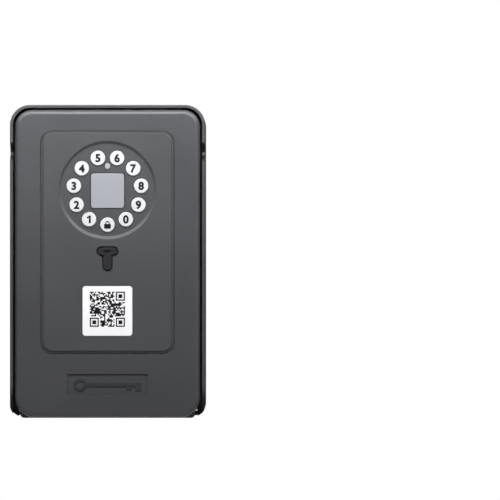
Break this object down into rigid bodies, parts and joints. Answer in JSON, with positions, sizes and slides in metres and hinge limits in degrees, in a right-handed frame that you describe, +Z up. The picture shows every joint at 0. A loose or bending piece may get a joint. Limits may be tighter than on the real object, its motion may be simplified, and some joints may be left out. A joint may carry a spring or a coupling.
{
  "type": "keypad smart lock",
  "caption": "Wall-mounted smart key box: bottom-hinged door with a round keypad, fingerprint window, status light, power port cover and a motor-driven latch bolt.",
  "frame": {"origin": "centre of the back face, on the wall plane", "axes": "+Z up, +X to the right as seen from the front, -Y out of the wall towards the user"},
  "size_m": [0.116, 0.0562, 0.186],
  "materials": {
    "case_paint": "satin",
    "door_paint": "satin",
    "panel_plastic": "satin",
    "key_plastic": "satin",
    "window": "satin",
    "light_pipe": "satin",
    "rubber": "matte",
    "label": "matte",
    "board": "satin",
    "brass": "satin",
    "cell": "satin",
    "steel": "satin",
    "dark_plastic": "matte"
  },
  "bodies": {
    "case": {"back_case": "case_paint", "strike_plate": "steel", "strike_screw_left": "steel", "strike_screw_right": "steel", "key_rail": "steel", "rail_screw_left": "steel", "rail_screw_right": "steel", "hinge_pin": "steel", "case_seal": "rubber"},
    "door": {"battery_1": "cell", "battery_2": "cell", "battery_3": "cell", "battery_4": "cell", "battery_tray": "dark_plastic", "bolt_guide": "dark_plastic", "centre_panel": "panel_plastic", "code_label": "label", "contact_bottom_1": "brass", "contact_bottom_2": "brass", "contact_bottom_3": "brass", "contact_top_1": "brass", "contact_top_2": "brass", "cover_screw_1": "steel", "cover_screw_2": "steel", "cover_screw_3": "steel", "cover_screw_4": "steel", "cover_screw_5": "steel", "cover_screw_6": "steel", "door_shell": "door_paint", "fingerprint_sensor": "dark_plastic", "fingerprint_window": "window", "front_board": "board", "gear_motor": "steel", "inner_cover": "dark_plastic", "main_board": "board", "port_cover_root": "rubber", "status_light": "light_pipe", "usb_port": "steel"},
    "key_0": {"key_0": "key_plastic"},
    "key_1": {"key_1": "key_plastic"},
    "key_2": {"key_2": "key_plastic"},
    "key_3": {"key_3": "key_plastic"},
    "key_4": {"key_4": "key_plastic"},
    "key_5": {"key_5": "key_plastic"},
    "key_6": {"key_6": "key_plastic"},
    "key_7": {"key_7": "key_plastic"},
    "key_8": {"key_8": "key_plastic"},
    "key_9": {"key_9": "key_plastic"},
    "key_lock": {"key_lock": "key_plastic"},
    "port_cover": {"port_cover": "rubber"},
    "latch_bolt": {"latch_bolt": "steel"},
    "drive_pinion": {"drive_pinion": "brass"},
    "battery_lid": {"battery_lid": "dark_plastic"}
  },
  "joints": [
    {"name": "door_hinge", "type": "hinge", "parent": "case", "child": "door", "pos_m": [0, -0.035, -0.088], "axis": [1, 0, 0], "range_deg": [0, 95]},
    {"name": "key_0_press", "type": "slide", "parent": "door", "child": "key_0", "axis": [0, 1, 0], "range_m": [0, 0.0006], "stiffness_N_per_m": 2000, "springref_m": -0.0003},
    {"name": "key_1_press", "type": "slide", "parent": "door", "child": "key_1", "axis": [0, 1, 0], "range_m": [0, 0.0006], "stiffness_N_per_m": 2000, "springref_m": -0.0003},
    {"name": "key_2_press", "type": "slide", "parent": "door", "child": "key_2", "axis": [0, 1, 0], "range_m": [0, 0.0006], "stiffness_N_per_m": 2000, "springref_m": -0.0003},
    {"name": "key_3_press", "type": "slide", "parent": "door", "child": "key_3", "axis": [0, 1, 0], "range_m": [0, 0.0006], "stiffness_N_per_m": 2000, "springref_m": -0.0003},
    {"name": "key_4_press", "type": "slide", "parent": "door", "child": "key_4", "axis": [0, 1, 0], "range_m": [0, 0.0006], "stiffness_N_per_m": 2000, "springref_m": -0.0003},
    {"name": "key_5_press", "type": "slide", "parent": "door", "child": "key_5", "axis": [0, 1, 0], "range_m": [0, 0.0006], "stiffness_N_per_m": 2000, "springref_m": -0.0003},
    {"name": "key_6_press", "type": "slide", "parent": "door", "child": "key_6", "axis": [0, 1, 0], "range_m": [0, 0.0006], "stiffness_N_per_m": 2000, "springref_m": -0.0003},
    {"name": "key_7_press", "type": "slide", "parent": "door", "child": "key_7", "axis": [0, 1, 0], "range_m": [0, 0.0006], "stiffness_N_per_m": 2000, "springref_m": -0.0003},
    {"name": "key_8_press", "type": "slide", "parent": "door", "child": "key_8", "axis": [0, 1, 0], "range_m": [0, 0.0006], "stiffness_N_per_m": 2000, "springref_m": -0.0003},
    {"name": "key_9_press", "type": "slide", "parent": "door", "child": "key_9", "axis": [0, 1, 0], "range_m": [0, 0.0006], "stiffness_N_per_m": 2000, "springref_m": -0.0003},
    {"name": "key_lock_press", "type": "slide", "parent": "door", "child": "key_lock", "axis": [0, 1, 0], "range_m": [0, 0.0006], "stiffness_N_per_m": 2000, "springref_m": -0.0003},
    {"name": "port_cover_flap", "type": "hinge", "parent": "door", "child": "port_cover", "pos_m": [0, -0.056, -0.00264], "axis": [1, 0, 0], "range_deg": [0, 110], "stiffness_Nm_per_rad": 0.002},
    {"name": "bolt_slide", "type": "slide", "parent": "door", "child": "latch_bolt", "axis": [0, 0, 1], "range_m": [0, 0.005]},
    {"name": "pinion_turn", "type": "hinge", "parent": "door", "child": "drive_pinion", "pos_m": [0, -0.0415, 0.06], "axis": [1, 0, 0], "range_deg": [0, 64]},
    {"name": "battery_lid_lift", "type": "slide", "parent": "door", "child": "battery_lid", "axis": [0, 1, 0], "range_m": [0, 0.012]}
  ],
  "couplings": [
    {"joint": "pinion_turn", "follows": "bolt_slide", "rad_per_m": 222.22}
  ]
}
